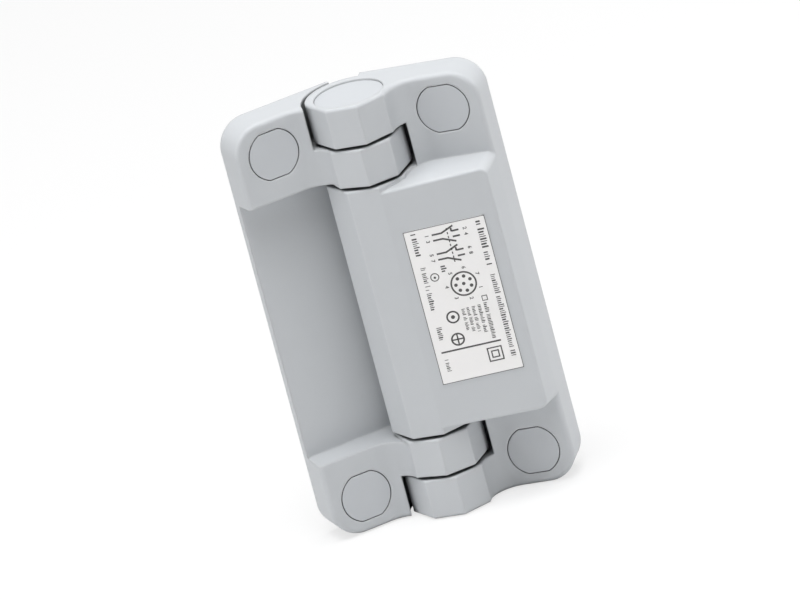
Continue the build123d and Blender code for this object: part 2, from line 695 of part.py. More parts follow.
end_caps = [build_end_cap(*z) for z in upper_and_lower(BUSH_TOP, CAP_OUT)]
end_bodies = upper_and_lower(END_KNUCKLE_IN, BUSH_TOP)
end_flanges = upper_and_lower(END_KNUCKLE_IN - BUSH_FLANGE, END_KNUCKLE_IN)
end_bushes = [build_bush(*z) for z in zip(end_bodies, end_flanges)]
switch_bodies = upper_and_lower(SEAL_TOP, SWITCH_HALF)
switch_flanges = upper_and_lower(SWITCH_HALF, SWITCH_HALF + BUSH_FLANGE)
switch_bushes = [build_bush(*z) for z in zip(switch_bodies, switch_flanges)]
seals = [build_shaft_seal(*z) for z in upper_and_lower(SEAL_BOTTOM, SEAL_TOP)]

fixed_pieces = {
    "switch_leaf": build_switch_leaf(),
    "rear_cover": build_rear_cover(),
    "rear_gasket": gasket_ring(GASKET_CLEARANCE, REAR_SEAT - GASKET_DEPTH, REAR_SEAT),
    "cover_screws": build_cover_screws(),
    "contact_carrier": build_carrier(),
    "fixed_contacts": build_fixed_contacts(),
    "circuit_board": build_board(),
    "connector_shell": build_connector_shell(),
    "connector_nut": build_connector_nut(),
    "connector_insert": build_connector_insert(),
    "connector_pins": build_connector_pins(),
    "connector_o_ring": build_o_ring(),
    "label": build_label(),
}
door_pieces = {
    "door_leaf": other_leaf(build_door_leaf()),
    "hinge_pin": build_hinge_pin(),
    "cam": build_cam(),
    "cam_cross_pin": build_cross_pin(),
}
for side, end in (("top", 0), ("bottom", 1)):
    fixed_pieces["end_cap_" + side] = end_caps[end]
    fixed_pieces["end_bush_" + side] = end_bushes[end]
    fixed_pieces["switch_bush_" + side] = switch_bushes[end]
    fixed_pieces["shaft_seal_" + side] = seals[end]
    fixed_pieces["plunger_" + side] = build_plunger(ENDS[end])
    fixed_pieces["contact_bridge_" + side] = build_contact_bridge(ENDS[end])
    fixed_pieces["plunger_spring_" + side] = build_spring(ENDS[end])
    fixed_pieces["switch_screw_cover_" + side] = build_screw_cover(ENDS[end])
    door_pieces["door_screw_cover_" + side] = other_leaf(build_screw_cover(ENDS[end]))

to_frame = Pos(-HOLE_FROM_PIN, -PIN_HEIGHT, 0)
os.makedirs("parts", exist_ok=True)
for pieces, place in ((fixed_pieces, to_frame), (door_pieces, to_frame * Rot(0, 0, REST_FOLD))):
    for name, piece in pieces.items():
        solids = piece if isinstance(piece, list) else [piece]
        placed = [place * solid for solid in solids]
        export_step(placed[0] if len(placed) == 1 else Compound(placed), "parts/" + name + ".step")
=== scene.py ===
# %% [markdown]
# # Dressing a safety hinge switch
# The frame holds every solid of the hinge at its real size and place, in metres. This lesson gives
# each of them a finish, adds the print on the label and the thread on the connector, winds the two
# hidden springs again from round wire, and sets up a plain white studio. All other shapes belong to
# the frame and are never touched here.

# %% Load the frame
import json
import math
import random
import bpy
from mathutils import Matrix, Vector


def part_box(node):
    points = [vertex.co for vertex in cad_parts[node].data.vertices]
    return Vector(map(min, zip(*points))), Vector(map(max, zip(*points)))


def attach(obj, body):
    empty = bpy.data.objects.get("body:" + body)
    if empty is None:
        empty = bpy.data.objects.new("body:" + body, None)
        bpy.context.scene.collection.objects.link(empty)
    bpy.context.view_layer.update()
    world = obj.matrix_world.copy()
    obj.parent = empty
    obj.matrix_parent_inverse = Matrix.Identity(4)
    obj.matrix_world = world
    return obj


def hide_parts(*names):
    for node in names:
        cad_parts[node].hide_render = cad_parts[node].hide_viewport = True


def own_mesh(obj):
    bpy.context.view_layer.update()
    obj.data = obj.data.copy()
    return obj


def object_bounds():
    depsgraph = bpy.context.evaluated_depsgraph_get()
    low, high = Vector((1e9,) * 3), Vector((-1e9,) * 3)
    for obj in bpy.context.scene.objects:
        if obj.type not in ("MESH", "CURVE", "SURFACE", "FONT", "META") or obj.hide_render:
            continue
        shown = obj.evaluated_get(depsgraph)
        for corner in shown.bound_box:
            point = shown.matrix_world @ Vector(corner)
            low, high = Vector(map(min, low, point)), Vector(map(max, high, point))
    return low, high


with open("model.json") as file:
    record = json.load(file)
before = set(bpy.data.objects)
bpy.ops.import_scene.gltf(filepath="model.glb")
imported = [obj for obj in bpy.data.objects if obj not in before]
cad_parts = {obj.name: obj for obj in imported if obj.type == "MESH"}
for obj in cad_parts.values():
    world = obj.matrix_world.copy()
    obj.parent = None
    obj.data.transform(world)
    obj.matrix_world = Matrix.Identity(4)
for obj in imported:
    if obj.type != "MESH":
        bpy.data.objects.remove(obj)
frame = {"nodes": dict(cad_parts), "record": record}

nodes = frame["nodes"]
cad_box = [list(corner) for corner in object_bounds()]
print("nodes:", len(nodes), "box:", cad_box)

# %% [markdown]
# ## The camera
# The hinge is seen from a little above and to its right, with the camera rolled, so that the pin
# leans to the left at the top. The lens is very long, because the pin's edges stay parallel in the
# picture. The picture is 800 by 600 pixels, and a millimetre of the hinge covers a little over four.

# %% Place the camera
PICTURE_WIDTH = 800
PIXELS_PER_MM = 4.10
CAMERA_DISTANCE = 3.0
SIGHT_LIMIT = 20.0
AZIMUTH, ELEVATION, ROLL = math.radians(16.4), math.radians(20.5), math.radians(15.0)
PIN_AXIS = Vector((-0.0213, -0.013, 0.0))
PIN_RIGHT_OF_CENTRE, PIN_OVER_CENTRE = 0.00075, 0.00037

level_right = Vector((math.cos(AZIMUTH), math.sin(AZIMUTH), 0.0))
back = Vector((
    math.sin(AZIMUTH) * math.cos(ELEVATION),
    -math.cos(AZIMUTH) * math.cos(ELEVATION),
    math.sin(ELEVATION),
))
level_up = back.cross(level_right)
right = level_right * math.cos(ROLL) - level_up * math.sin(ROLL)
up = back.cross(right)
aim = PIN_AXIS - right * PIN_RIGHT_OF_CENTRE - up * PIN_OVER_CENTRE
camera_data = bpy.data.cameras.new("studio_camera")
camera_data.lens = camera_data.sensor_width * PIXELS_PER_MM * CAMERA_DISTANCE * 1000 / PICTURE_WIDTH
camera_data.clip_end = SIGHT_LIMIT
camera = bpy.data.objects.new("studio_camera", camera_data)
bpy.context.scene.collection.objects.link(camera)
turn = Matrix((right, up, back)).transposed().to_4x4()
camera.matrix_world = Matrix.Translation(aim + back * CAMERA_DISTANCE) @ turn
bpy.context.scene.camera = camera
print("lens:", round(camera_data.lens, 1), "mm")

# %% [markdown]
# ## The studio
# The hinge is a product on white. Two soft lamps hang over it, one straight above and one a little
# in front, so that the recess darkens under the upper block and the top faces are the brightest.
# Weaker lamps from the left and the right light the knuckles' facets on both sides, and one behind
# on the right lifts the side wall. The white behind the hinge comes from what camera rays see of the
# world and the floor, never from stronger lamps, so that the grey plastic keeps its own colour.

# %% Set the colour view and the world
ROOM_TONE = (0.985, 0.992, 1.0)
ROOM_LIGHT = 0.1
WHITE = (1, 1, 1, 1)
bpy.context.scene.view_settings.view_transform = "Standard"
world = bpy.data.worlds.new("white_studio")
bpy.context.scene.world = world
world.use_nodes = True
links = world.node_tree.links
room = world.node_tree.nodes["Background"]
room.inputs["Color"].default_value = (*ROOM_TONE, 1)
room.inputs["Strength"].default_value = ROOM_LIGHT
seen_white = world.node_tree.nodes.new("ShaderNodeBackground")
seen_white.inputs["Color"].default_value = WHITE
rays = world.node_tree.nodes.new("ShaderNodeLightPath")
sees_white = rays.outputs["Is Camera Ray"]
for kind in ("Is Glossy Ray", "Is Transmission Ray"):
    either = world.node_tree.nodes.new("ShaderNodeMath")
    either.operation = "MAXIMUM"
    links.new(sees_white, either.inputs[0])
    links.new(rays.outputs[kind], either.inputs[1])
    sees_white = either.outputs["Value"]
pick = world.node_tree.nodes.new("ShaderNodeMixShader")
links.new(sees_white, pick.inputs["Fac"])
links.new(room.outputs["Background"], pick.inputs[1])
links.new(seen_white.outputs["Background"], pick.inputs[2])
links.new(pick.outputs["Shader"], world.node_tree.nodes["World Output"].inputs["Surface"])
print("room light:", ROOM_LIGHT)


# %% Hang the lamps
LARGE_LAMP, SMALL_LAMP = 0.9, 0.7


def hang_lamp(name, place, size, watts):
    """A square soft lamp that points at the hinge."""
    data = bpy.data.lights.new(name, "AREA")
    data.size = size
    data.energy = watts
    lamp = bpy.data.objects.new(name, data)
    bpy.context.scene.collection.objects.link(lamp)
    lamp.location = place
    lamp.rotation_euler = (Vector(place) * -1).to_track_quat("-Z", "Y").to_euler()


hang_lamp("front_top_lamp", (0.07, -0.40, 1.13), LARGE_LAMP, 8.4)
hang_lamp("top_lamp", (0.07, -0.04, 1.20), LARGE_LAMP, 12.8)
hang_lamp("left_lamp", (-1.02, -0.59, 0.25), SMALL_LAMP, 5.0)
hang_lamp("right_lamp", (1.09, -0.51, 0.06), SMALL_LAMP, 2.9)
hang_lamp("right_rim_lamp", (0.95, 0.67, 0.31), SMALL_LAMP, 4.2)


# %% Lay the floor
FLOOR_SIZE = 6.0
FLOOR_DROP = 0.0002


def deselect_all():
    """Leave edit mode and let go of everything, because operators act on all that is selected."""
    if bpy.context.object and bpy.context.object.mode != "OBJECT":
        bpy.ops.object.mode_set(mode="OBJECT")
    bpy.ops.object.select_all(action="DESELECT")


deselect_all()
bpy.ops.mesh.primitive_plane_add(size=FLOOR_SIZE, location=(0, 0, cad_box[0][2] - FLOOR_DROP))
floor = bpy.context.object
floor.name = "studio_floor"
print("floor at", round(floor.location.z, 4))

# %% [markdown]
# ## Shared effects
# Two effects come back in many finishes, so each is a node group. Moulded plastic has a fine
# spark-eroded grain with very faint clouds of tone, and its edges are never quite sharp. Its group also
# masks the edges for a painted edge tone, and paints shade near black into the narrow seams between
# its pieces. Turned or drawn metal has streaks along one direction.


# %% Write the node helpers
def new_group(name, inputs, outputs):
    """An empty shader node group with named sockets."""
    group = bpy.data.node_groups.new(name, "ShaderNodeTree")
    for label, kind, value in inputs:
        socket = group.interface.new_socket(label, in_out="INPUT", socket_type=kind)
        socket.default_value = value
    for label, kind in outputs:
        group.interface.new_socket(label, in_out="OUTPUT", socket_type=kind)
    return group, group.nodes.new("NodeGroupInput"), group.nodes.new("NodeGroupOutput")


def noise(tree, vector, scale, detail=3.0):
    """A noise texture that reads the given coordinates, with a plain or a linked scale."""
    node = tree.nodes.new("ShaderNodeTexNoise")
    node.inputs["Detail"].default_value = detail
    tree.links.new(vector, node.inputs["Vector"])
    if isinstance(scale, float):
        node.inputs["Scale"].default_value = scale
    else:
        tree.links.new(scale, node.inputs["Scale"])
    return node.outputs["Fac"]


def ramp(tree, value, first, last):
    """A mask that rises from 0 to 1 while a value goes from the first to the last number."""
    node = tree.nodes.new("ShaderNodeMapRange")
    node.inputs["From Min"].default_value = first
    node.inputs["From Max"].default_value = last
    tree.links.new(value, node.inputs["Value"])
    return node.outputs["Result"]


def bumped(tree, height, strength, distance, normal=None):
    """A normal that is tilted by a height, from the given normal or from the surface's own."""
    node = tree.nodes.new("ShaderNodeBump")
    node.inputs["Distance"].default_value = distance
    tree.links.new(strength, node.inputs["Strength"])
    tree.links.new(height, node.inputs["Height"])
    if normal:
        tree.links.new(normal, node.inputs["Normal"])
    return node.outputs["Normal"]


# %% Build the moulded surface group
GRAIN_HEIGHT = 0.00002
CLOUD_SCALE, CLOUD_DETAIL = 120.0, 4.0
EDGE_BEGINS, EDGE_FULL = 0.995, 0.86
SEAM_SHADE_REACH = 0.0025
SEAM_SHADE_BEGINS, SEAM_SHADE_FULL = 0.44, 0.12
EDGE_SAMPLES, SEAM_SHADE_SAMPLES = 6, 8
moulded, given, out = new_group(
    "moulded_surface",
    [("Grain Scale", "NodeSocketFloat", 9000.0), ("Grain Depth", "NodeSocketFloat", 0.15),
     ("Edge Radius", "NodeSocketFloat", 0.0003)],
    [("Normal", "NodeSocketVector"), ("Clouds", "NodeSocketFloat"), ("Edge", "NodeSocketFloat"),
     ("Seam", "NodeSocketFloat")],
)
where = moulded.nodes.new("ShaderNodeTexCoord").outputs["Object"]
grain = noise(moulded, where, given.outputs["Grain Scale"])
clouds = noise(moulded, where, CLOUD_SCALE, CLOUD_DETAIL)
moulded.links.new(clouds, out.inputs["Clouds"])
print("group:", moulded.name, "scale of its clouds:", CLOUD_SCALE)

# %% Round its edges and mask them for a painted edge tone
rounded = moulded.nodes.new("ShaderNodeBevel")
rounded.samples = EDGE_SAMPLES
moulded.links.new(given.outputs["Edge Radius"], rounded.inputs["Radius"])
facing = moulded.nodes.new("ShaderNodeNewGeometry")
likeness = moulded.nodes.new("ShaderNodeVectorMath")
likeness.operation = "DOT_PRODUCT"
moulded.links.new(rounded.outputs["Normal"], likeness.inputs[0])
moulded.links.new(facing.outputs["Normal"], likeness.inputs[1])
# This mask marks the edges for a painted tone, a painted highlight where the edge tone is lighter.
edge = ramp(moulded, likeness.outputs["Value"], EDGE_BEGINS, EDGE_FULL)
moulded.links.new(edge, out.inputs["Edge"])
grainy = bumped(moulded, grain, given.outputs["Grain Depth"], GRAIN_HEIGHT, rounded.outputs["Normal"])
moulded.links.new(grainy, out.inputs["Normal"])
print("samples at an edge:", EDGE_SAMPLES)

# %% Paint shade into its seams
# Ambient occlusion within a short reach sets the mask for painted shade in the seams and creases.
openness = moulded.nodes.new("ShaderNodeAmbientOcclusion")
openness.samples = SEAM_SHADE_SAMPLES
openness.inputs["Distance"].default_value = SEAM_SHADE_REACH
seam = ramp(moulded, openness.outputs["AO"], SEAM_SHADE_BEGINS, SEAM_SHADE_FULL)
moulded.links.new(seam, out.inputs["Seam"])
print("reach of a seam:", SEAM_SHADE_REACH, "m")

# %% Build the metal streak group
STREAK_HEIGHT = 0.00001
STREAK_SCALE, STREAK_DETAIL = 1.0, 2.0
streaked, given, out = new_group(
    "metal_streaks",
    [("Stretch", "NodeSocketVector", (200.0, 200.0, 6000.0)), ("Depth", "NodeSocketFloat", 0.1)],
    [("Normal", "NodeSocketVector"), ("Streaks", "NodeSocketFloat")],
)
where = streaked.nodes.new("ShaderNodeTexCoord").outputs["Object"]
stretch = streaked.nodes.new("ShaderNodeVectorMath")
stretch.operation = "MULTIPLY"
streaked.links.new(where, stretch.inputs[0])
streaked.links.new(given.outputs["Stretch"], stretch.inputs[1])
streaks = noise(streaked, stretch.outputs["Vector"], STREAK_SCALE, STREAK_DETAIL)
streaked.links.new(streaks, out.inputs["Streaks"])
streaky = bumped(streaked, streaks, given.outputs["Depth"], STREAK_HEIGHT)
streaked.links.new(streaky, out.inputs["Normal"])
print("group:", streaked.name)


# %% [markdown]
# ## Finishes
# A finish is a Principled shader with its two tones mixed by a mask from a shared group. Where a
# mask changes the roughness too, the surface catches the light unevenly, as real plastic does.

# %% Write the finish helpers
def sheen_of(low, high, tree, mask):
    """A roughness that runs between two values with a mask."""
    node = tree.nodes.new("ShaderNodeMapRange")
    node.inputs["To Min"].default_value = low
    node.inputs["To Max"].default_value = high
    tree.links.new(mask, node.inputs["Value"])
    return node.outputs["Result"]


def mixed(tree, mask, first, second):
    """Two colours mixed by a mask."""
    node = tree.nodes.new("ShaderNodeMix")
    node.data_type = "RGBA"
    tree.links.new(mask, node.inputs["Factor"])
    for socket, colour in ((node.inputs["A"], first), (node.inputs["B"], second)):
        if isinstance(colour, tuple):
            socket.default_value = (*colour, 1)
        else:
            tree.links.new(colour, socket)
    return node.outputs["Result"]


def start_finish(name, group):
    """A new material with its Principled shader and one shared group placed beside it."""
    material = bpy.data.materials.new(name)
    material.use_nodes = True
    tree = material.node_tree
    surface = tree.nodes.new("ShaderNodeGroup")
    surface.node_tree = group
    shader = tree.nodes["Principled BSDF"]
    tree.links.new(surface.outputs["Normal"], shader.inputs["Normal"])
    return material, tree, shader, surface


# %% Write the plastic finish
SEAM_SHADE_SHARE = 0.1
PLASTIC_SHEEN_SPREAD = 0.06


def plastic(name, tone, darker, painted_edge_tone, rough, grain_scale, grain_depth, edge_radius):
    """Moulded plastic or rubber: two close tones, a painted edge tone, painted shade in the seams and a
    grain.
    """
    material, tree, shader, surface = start_finish(name, moulded)
    surface.inputs["Grain Scale"].default_value = grain_scale
    surface.inputs["Grain Depth"].default_value = grain_depth
    surface.inputs["Edge Radius"].default_value = edge_radius
    cloud_mask = surface.outputs["Clouds"]
    cloudy = mixed(tree, cloud_mask, darker, tone)
    # Painted light along the edges: a lighter edge tone is a painted highlight, a darker one a painted
    # shade.
    edge_painted = mixed(tree, surface.outputs["Edge"], cloudy, painted_edge_tone)
    # Painted shade: the seams are mixed towards a tenth of the tone.
    seam_shade_tone = tuple(SEAM_SHADE_SHARE * part for part in tone)
    seam_shaded = mixed(tree, surface.outputs["Seam"], edge_painted, seam_shade_tone)
    tree.links.new(seam_shaded, shader.inputs["Base Color"])
    sheen = sheen_of(rough - PLASTIC_SHEEN_SPREAD, rough + PLASTIC_SHEEN_SPREAD, tree, cloud_mask)
    tree.links.new(sheen, shader.inputs["Roughness"])
    return material


# %% Write the metal finish
METAL_SMOOTHER, METAL_ROUGHER = 0.05, 0.08


def metal(name, tone, darker, rough, stretch_by, depth):
    """Drawn, turned or plated metal with streaks."""
    material, tree, shader, surface = start_finish(name, streaked)
    shader.inputs["Metallic"].default_value = 1.0
    surface.inputs["Stretch"].default_value = stretch_by
    surface.inputs["Depth"].default_value = depth
    tree.links.new(mixed(tree, surface.outputs["Streaks"], darker, tone), shader.inputs["Base Color"])
    sheen = sheen_of(rough - METAL_SMOOTHER, rough + METAL_ROUGHER, tree, surface.outputs["Streaks"])
    tree.links.new(sheen, shader.inputs["Roughness"])
    return material


# %% Mix the plastics that show
finishes = {
    "body": plastic(
        "grey_polyamide", (0.485, 0.502, 0.520), (0.465, 0.482, 0.500), (0.56, 0.575, 0.59),
        rough=0.55, grain_scale=7000.0, grain_depth=0.25, edge_radius=0.0009,
    ),
    # The cap's dark edge tone is a painted shade line round its rim.
    "cap": plastic(
        "grey_cap_polyamide", (0.480, 0.498, 0.520), (0.462, 0.480, 0.502), (0.26, 0.27, 0.28),
        rough=0.5, grain_scale=9000.0, grain_depth=0.15, edge_radius=0.0003,
    ),
    # The film's darker edge tone is a painted shade line round its edge.
    "label": plastic(
        "label_film", (0.81, 0.80, 0.795), (0.785, 0.775, 0.77), (0.60, 0.60, 0.60),
        rough=0.42, grain_scale=12000.0, grain_depth=0.05, edge_radius=0.0002,
    ),
}
print("plastics that show:", sorted(finishes))

# %% Mix the inner plastics and the rubber
finishes["seal"] = plastic(
    "black_rubber", (0.022, 0.022, 0.024), (0.015, 0.015, 0.017), (0.05, 0.05, 0.05),
    rough=0.7, grain_scale=6000.0, grain_depth=0.4, edge_radius=0.0001,
)
finishes["dark_plastic"] = plastic(
    "black_polyamide", (0.03, 0.03, 0.033), (0.02, 0.02, 0.022), (0.07, 0.07, 0.075),
    rough=0.45, grain_scale=8000.0, grain_depth=0.2, edge_radius=0.00012,
)
finishes["bearing_plastic"] = plastic(
    "bearing_polymer", (0.11, 0.115, 0.12), (0.08, 0.085, 0.09), (0.17, 0.17, 0.18),
    rough=0.4, grain_scale=8000.0, grain_depth=0.15, edge_radius=0.00012,
)
finishes["board"] = plastic(
    "green_circuit_board", (0.03, 0.16, 0.07), (0.02, 0.12, 0.05), (0.30, 0.32, 0.20),
    rough=0.35, grain_scale=4000.0, grain_depth=0.3, edge_radius=0.00008,
)
print("finishes so far:", len(finishes))

# %% Mix the metals
finishes["steel"] = metal(
    "drawn_steel", (0.50, 0.50, 0.495), (0.40, 0.40, 0.40),
    rough=0.32, stretch_by=(7000.0, 7000.0, 300.0), depth=0.15,
)
finishes["plated_metal"] = metal(
    "nickel_plated_brass", (0.44, 0.43, 0.40), (0.36, 0.35, 0.32),
    rough=0.34, stretch_by=(300.0, 6000.0, 300.0), depth=0.12,
)
finishes["contact"] = metal(
    "silvered_copper", (0.78, 0.62, 0.48), (0.66, 0.50, 0.38),
    rough=0.3, stretch_by=(400.0, 5000.0, 400.0), depth=0.1,
)
finishes["gold_contact"] = metal(
    "gold_flashed_pin", (0.90, 0.68, 0.30), (0.80, 0.58, 0.24),
    rough=0.2, stretch_by=(400.0, 5000.0, 400.0), depth=0.08,
)
print("finishes:", sorted(finishes))

# %% Finish every node by the record's slot
slots = {part["node"]: part["material_slot"] for part in frame["record"]["subparts"]}
for name, piece in nodes.items():
    finish = finishes[slots[name]]
    for place in piece.material_slots:
        place.material = finish
    if not piece.material_slots:
        piece.data.materials.append(finish)
print("finished nodes:", len(slots))

# %% [markdown]
# ## The floor's finish
# The floor is white where the camera sees it and a plain pale floor for the lamps, so that it keeps
# the soft shadow under the hinge.

# %% Finish the floor
FLOOR_TONE, FLOOR_CLOUD_TONE = (0.8, 0.8, 0.8), (0.83, 0.83, 0.83)
FLOOR_CLOUD_SCALE = 3.0
FLOOR_ROUGH = 0.9
FLOOR_GLOW_SHARE = 0.7
floor_paint = bpy.data.materials.new("white_floor")
floor_paint.use_nodes = True
tree = floor_paint.node_tree
shader = tree.nodes["Principled BSDF"]
shader.inputs["Roughness"].default_value = FLOOR_ROUGH
shader.inputs["Specular IOR Level"].default_value = 0.0
where = tree.nodes.new("ShaderNodeTexCoord").outputs["Object"]
floor_tone = mixed(tree, noise(tree, where, FLOOR_CLOUD_SCALE), FLOOR_TONE, FLOOR_CLOUD_TONE)
tree.links.new(floor_tone, shader.inputs["Base Color"])
glow = tree.nodes.new("ShaderNodeEmission")
rays = tree.nodes.new("ShaderNodeLightPath")
share = tree.nodes.new("ShaderNodeMath")
share.operation = "MULTIPLY"
share.inputs[1].default_value = FLOOR_GLOW_SHARE
blend_white = tree.nodes.new("ShaderNodeMixShader")
tree.links.new(rays.outputs["Is Camera Ray"], share.inputs[0])
tree.links.new(share.outputs["Value"], blend_white.inputs["Fac"])
tree.links.new(shader.outputs["BSDF"], blend_white.inputs[1])
tree.links.new(glow.outputs["Emission"], blend_white.inputs[2])
tree.links.new(blend_white.outputs["Shader"], tree.nodes["Material Output"].inputs["Surface"])
floor.data.materials.append(floor_paint)
print("floor finish:", floor_paint.name)

# %% [markdown]
# ## The print on the label
# The film on the housing carries a contact diagram, the pin layout of the connector and small type.
# The type is drawn as rows of short ticks, so that nothing reads as words. All of it is ink with a
# real thickness: flat shapes are drawn in edit mode on the ground, in millimetres from the label's
# upper left corner, given a little height together, and laid on the film at the end.

# %% Measure the label
MM = 0.001
LABEL_WIDTH, LABEL_LENGTH = 20.3, 40.8
LABEL_SLOPE = math.radians(10.0)
PRINT_RAISE = 0.4
FILM = 0.15 * MM
INK = 0.02 * MM
label_low, label_high = (Vector(corner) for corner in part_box("label"))
outward = Vector((math.sin(LABEL_SLOPE), -math.cos(LABEL_SLOPE), 0))
across = Vector((math.cos(LABEL_SLOPE), math.sin(LABEL_SLOPE), 0))
film_centre = (label_low + label_high) / 2 + outward * FILM / 2
print("film centre:", [round(c, 5) for c in film_centre])


# %% Draw straight ink
def spot(u, v):
    """A place on the ground for a place on the label, from its upper left corner."""
    return ((u - LABEL_WIDTH / 2) * MM, (LABEL_LENGTH / 2 - v + PRINT_RAISE) * MM, 0)


def bar(u, v, width, height, turned=0.0):
    """A filled bar round a centre."""
    bpy.ops.mesh.primitive_plane_add(size=MM, location=spot(u, v))
    bpy.ops.transform.resize(value=(width, height, 1), center_override=spot(u, v))
    if turned:
        bpy.ops.transform.rotate(value=-turned, orient_axis="Z", center_override=spot(u, v))


def stroke(start, end, width):
    """A straight line of ink between two places."""
    du, dv = end[0] - start[0], end[1] - start[1]
    centre = ((start[0] + end[0]) / 2, (start[1] + end[1]) / 2)
    bar(*centre, math.hypot(du, dv), width, -math.atan2(dv, du))


# %% Draw round ink
DOT_CORNERS, RING_CORNERS = 20, 48


def disc(u, v, radius):
    """A filled dot."""
    bpy.ops.mesh.primitive_circle_add(
        vertices=DOT_CORNERS, radius=radius * MM, fill_type="NGON", location=spot(u, v)
    )


def ring(u, v, radius, line, corners=RING_CORNERS, turned=0.0):
    """A ring of ink: a disc whose middle is inset and taken out."""
    bpy.ops.mesh.primitive_circle_add(
        vertices=corners, radius=radius * MM, fill_type="NGON", location=spot(u, v), rotation=(0, 0, turned)
    )
    bpy.ops.mesh.inset(thickness=line * MM)
    bpy.ops.mesh.delete(type="FACE")


def square(u, v, radius, line):
    """A square frame of ink, with its corners at a radius."""
    ring(u, v, radius, line, corners=4, turned=math.pi / 4)


# %% Draw small type
TICK_WIDTHS = (0.13, 0.18, 0.26)
TICK_HEIGHTS = (0.62, 0.78, 0.95)
TICK_GAP, WORD_GAP = 0.19, 0.4
WORD_END_CHANCE = 0.12
SHORTEST_REST = 0.2


def type_ticks(u, start, end, size, seed):
    """A line of small print down the label: ticks of a few sizes on one base line, parted as words."""
    dice = random.Random(seed)
    place, count = start, 0
    while place < end - size * SHORTEST_REST:
        wide = size * dice.choice(TICK_WIDTHS)
        tall = size * dice.choice(TICK_HEIGHTS)
        bar(u - size / 2 + tall / 2, place + wide / 2, tall, wide)
        place += wide + size * TICK_GAP
        count += 1
        if dice.random() < WORD_END_CHANCE:
            place += size * WORD_GAP
    return count


# %% Start the print with the line over its lowest part
DIVIDER, DIVIDER_LENGTH, DIVIDER_LINE = (9.05, 33.0), 14.9, 0.42
deselect_all()
bpy.ops.mesh.primitive_plane_add(size=MM, location=spot(*DIVIDER))
label_print = bpy.context.object
label_print.name = "label_print"
bpy.ops.object.mode_set(mode="EDIT")
bpy.ops.mesh.select_mode(type="FACE")
bpy.ops.transform.resize(value=(DIVIDER_LENGTH, DIVIDER_LINE, 1), center_override=spot(*DIVIDER))
print("line at", DIVIDER[1], "mm from the label's top")

# %% Print the contact diagram
LINE = 0.45
CONTACT_ROWS = ((2.6, True), (4.1, False), (7.7, True), (9.2, False))
LEAD, BLADE, STUB = (6.7, 9.2), (9.1, 12.2), (11.6, 13.4)
BLADE_RISE, BLADE_FALL = 1.35, 1.3
HOOK_FALL, HOOK_RISE = 0.1, 0.8
for row, opens_up in CONTACT_ROWS:
    stroke((LEAD[0], row), (LEAD[1], row), LINE)
    stroke((BLADE[0], row), (BLADE[1], row - BLADE_RISE if opens_up else row + BLADE_FALL), LINE)
    stroke((STUB[0], row), (STUB[1], row), LINE)
    if opens_up:
        stroke((STUB[0], row + HOOK_FALL), (STUB[0], row - HOOK_RISE), LINE)
print("contacts:", len(CONTACT_ROWS))

# %% Print the dashes that link the contacts
DASHES, DASH_STEP = 9, 1.05
FIRST_DASH = (10.55, 1.9)
DASH_WIDTH, DASH_LENGTH = 0.28, 0.6
for dash in range(DASHES):
    bar(FIRST_DASH[0], FIRST_DASH[1] + dash * DASH_STEP, DASH_WIDTH, DASH_LENGTH)
print("dashes:", DASHES)

# %% Print the pin layout
SYMBOL, SYMBOL_RADIUS = (11.25, 16.6), 3.25
PIN_CIRCLE, PIN_DOT = 1.95, 0.44
OUTER_PINS = 7
BOLD_LINE = 0.42


def round_symbol(number, reach):
    """The place of a pin, or of its numeral, at a reach from the middle of the layout."""
    angle = math.tau * (number + 0.5) / OUTER_PINS
    return SYMBOL[0] + reach * math.cos(angle), SYMBOL[1] + reach * math.sin(angle)


ring(*SYMBOL, SYMBOL_RADIUS, BOLD_LINE)
disc(*SYMBOL, PIN_DOT)
for number in range(OUTER_PINS):
    disc(*round_symbol(number, PIN_CIRCLE), PIN_DOT)
print("pins in the layout:", OUTER_PINS + 1)

# %% Print the plain marks
SMALL_RING, SMALL_RING_RADIUS, SMALL_RING_LINE = (4.8, 13.4), 1.1, 0.24
SMALL_DOT, SMALL_DOT_RADIUS = (4.8, 13.5), 0.3
TARGET, TARGET_RADIUS, TARGET_DOT_RADIUS = (6.6, 24.5), 1.65, 0.5
CROSS, CROSS_RADIUS, CROSS_ARM, CROSS_LINE = (6.4, 30.4), 1.7, 1.3, 0.36
SQUARES, OUTER_SQUARE, INNER_SQUARE, SQUARE_LINE = (14.4, 36.2), 2.65, 1.4, 0.32
LITTLE_SQUARE, LITTLE_SQUARE_REACH, LITTLE_SQUARE_LINE = (15.3, 21.4), 1.0, 0.2
ring(*SMALL_RING, SMALL_RING_RADIUS, SMALL_RING_LINE)
disc(*SMALL_DOT, SMALL_DOT_RADIUS)
ring(*TARGET, TARGET_RADIUS, BOLD_LINE)
disc(*TARGET, TARGET_DOT_RADIUS)
ring(*CROSS, CROSS_RADIUS, BOLD_LINE)
stroke((CROSS[0], CROSS[1] - CROSS_ARM), (CROSS[0], CROSS[1] + CROSS_ARM), CROSS_LINE)
stroke((CROSS[0] - CROSS_ARM, CROSS[1]), (CROSS[0] + CROSS_ARM, CROSS[1]), CROSS_LINE)
square(*SQUARES, OUTER_SQUARE, SQUARE_LINE)
square(*SQUARES, INNER_SQUARE, SQUARE_LINE)
square(*LITTLE_SQUARE, LITTLE_SQUARE_REACH, LITTLE_SQUARE_LINE)
print("lowest mark:", round(LABEL_LENGTH - SQUARES[1], 1), "mm over the label's foot")

# %% Print the border
BORDER = 0.14
for u in (BORDER / 2, LABEL_WIDTH - BORDER / 2):
    bar(u, LABEL_LENGTH / 2 + PRINT_RAISE, BORDER, LABEL_LENGTH)
for v in (BORDER / 2, LABEL_LENGTH - BORDER / 2):
    bar(LABEL_WIDTH / 2, v + PRINT_RAISE, LABEL_WIDTH, BORDER)
print("border:", BORDER, "mm")

